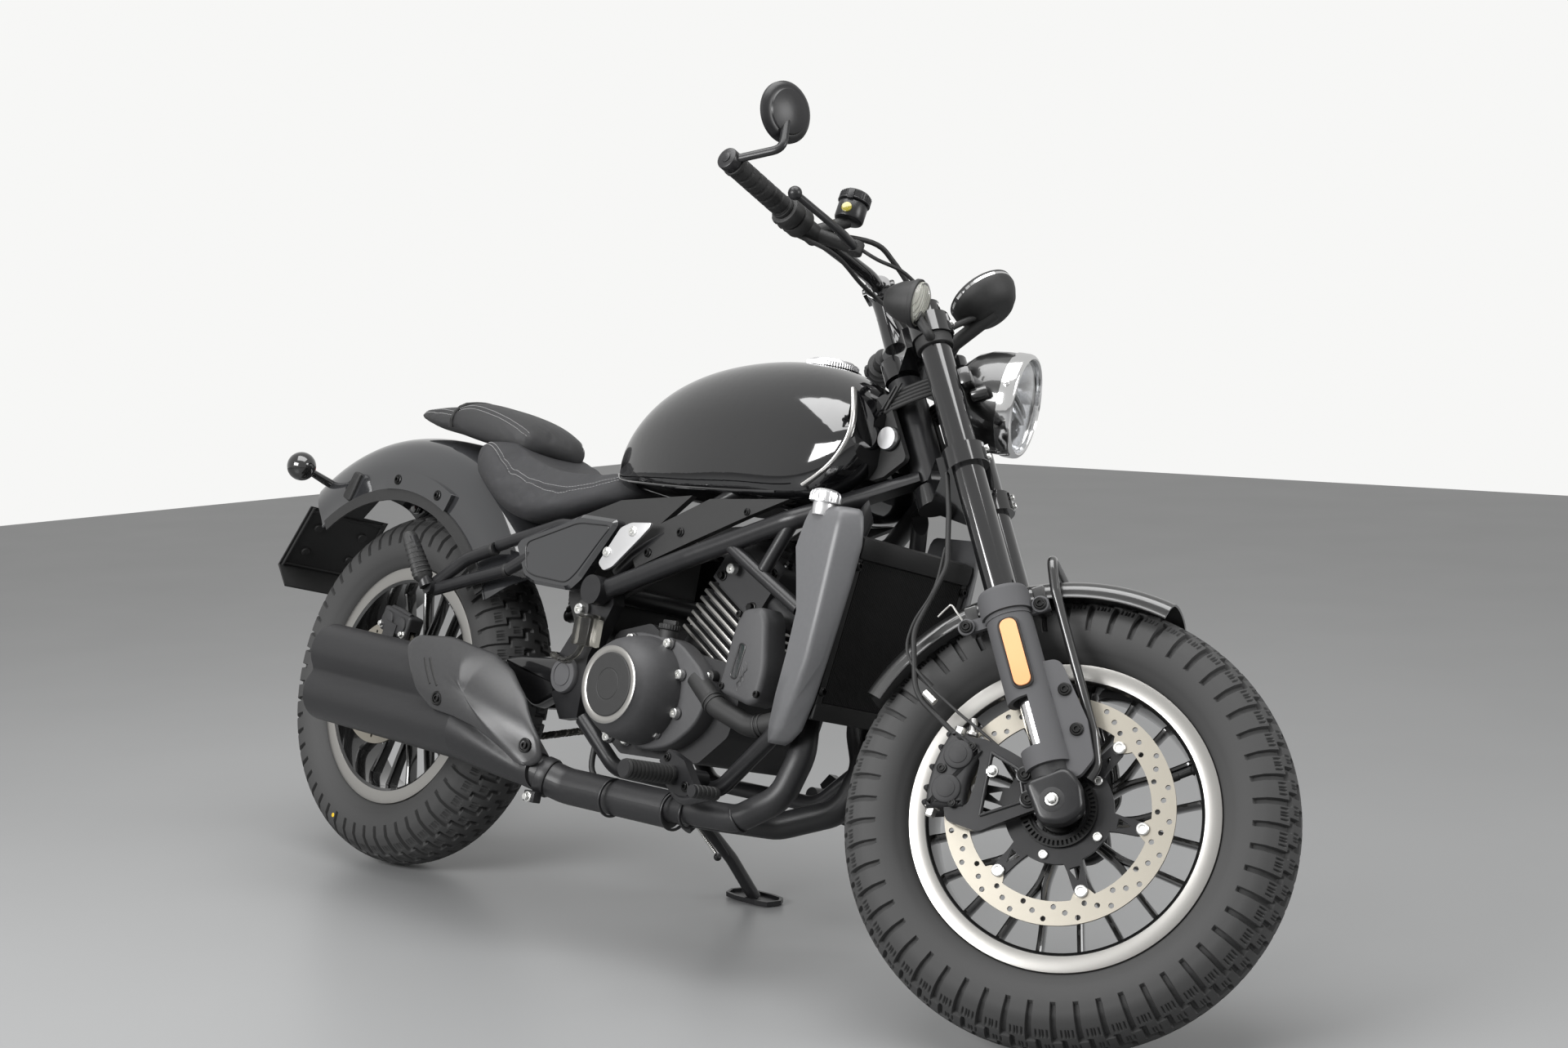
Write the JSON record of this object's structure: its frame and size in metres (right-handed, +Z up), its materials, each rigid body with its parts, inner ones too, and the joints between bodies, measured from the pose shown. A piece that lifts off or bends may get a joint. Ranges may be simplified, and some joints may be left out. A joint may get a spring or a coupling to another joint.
{
  "type": "cruiser motorcycle",
  "caption": "Low cruiser motorcycle leaning on its side stand with the bars turned left, with a radiator, a twin-barrel silencer, round lamps and bar-end mirrors.",
  "frame": {"origin": "bottom centre of the parked motorcycle's bounding box, on the floor", "axes": "+X towards the front wheel, +Y to the rider's left, +Z up"},
  "size_m": [2.1798, 0.8748, 1.3372],
  "materials": {
    "frame_black": "satin",
    "engine_dark": "matte",
    "cover_grey": "satin",
    "gloss_black": "gloss",
    "plain_black": "matte",
    "exhaust_black": "matte",
    "fork_black": "gloss",
    "fork_grey": "matte",
    "chrome": "polished",
    "steel": "brushed",
    "aluminium": "brushed",
    "rim_black": "gloss",
    "tyre_rubber": "matte",
    "soft_rubber": "matte",
    "seat_cover": "grained",
    "mirror_glass": "polished",
    "clear_lens": "clear",
    "indicator_grey": "gloss",
    "amber": "gloss",
    "red_lens": "gloss"
  },
  "bodies": {
    "chassis": {"frame": "frame_black", "rear_subframe": "frame_black", "crankcase": "engine_dark", "cylinder_block": "engine_dark", "clutch_cover": "engine_dark", "left_engine_covers": "engine_dark", "engine_front_cover": "cover_grey", "swingarm": "frame_black", "drive_chain": "steel", "rear_caliper": "fork_black", "battery_box": "plain_black", "rear_shock": "plain_black", "exhaust_pipes": "exhaust_black", "muffler": "exhaust_black", "heat_shield": "exhaust_black", "radiator": "plain_black", "radiator_shrouds": "cover_grey", "radiator_cap": "chrome", "coolant_hose": "soft_rubber", "rear_mudguard": "gloss_black", "tail_lamp": "red_lens", "rear_indicators": "indicator_grey", "plate_holder": "plain_black", "side_covers": "gloss_black", "metal_plates": "aluminium", "infill_panels": "plain_black", "fuel_tank": "gloss_black", "filler_cap": "chrome", "head_covers": "plain_black", "ignition_lock": "chrome", "pillion_seat": "seat_cover", "rider_seat": "seat_cover", "footrests": "frame_black"},
    "side_stand": {"side_stand": "frame_black"},
    "steering": {"yokes": "frame_black", "fork_tubes": "fork_black", "fork_inner_tubes": "chrome", "fork_lugs": "fork_grey", "front_axle": "chrome", "fork_shrouds": "fork_grey", "fork_reflectors": "amber", "front_mudguard": "gloss_black", "front_caliper": "fork_black", "brake_hose": "soft_rubber", "handlebar": "frame_black", "grips": "soft_rubber", "bar_controls": "plain_black", "mirrors": "mirror_glass", "headlamp_bowl": "gloss_black", "headlamp_lens": "clear_lens", "instrument": "plain_black", "front_indicators": "indicator_grey"},
    "front_wheel": {"front_tyre": "tyre_rubber", "front_rim": "rim_black", "front_disc": "steel"},
    "rear_wheel": {"rear_tyre": "tyre_rubber", "rear_rim": "rim_black", "rear_disc": "steel", "rear_sprocket": "steel"}
  },
  "joints": [
    {"name": "steering", "type": "hinge", "parent": "chassis", "child": "steering", "pos_m": [0.74032, -0.1523, 0.2752], "axis": [-0.4956, 0.2394, 0.8349], "range_deg": [-54.7, 0]},
    {"name": "front_wheel_spin", "type": "hinge", "parent": "steering", "child": "front_wheel", "pos_m": [0.79026, -0.11585, 0.2944], "axis": [-0.399, 0.791, -0.4637], "continuous": true},
    {"name": "rear_wheel_spin", "type": "hinge", "parent": "chassis", "child": "rear_wheel", "pos_m": [-0.68842, -0.14056, 0.31612], "axis": [0, 0.9613, -0.2756], "continuous": true},
    {"name": "side_stand_fold", "type": "hinge", "parent": "chassis", "child": "side_stand", "pos_m": [-0.04157, -0.05133, 0.16277], "axis": [0.1483, 0.8356, 0.529], "range_deg": [0, 92.8]}
  ]
}
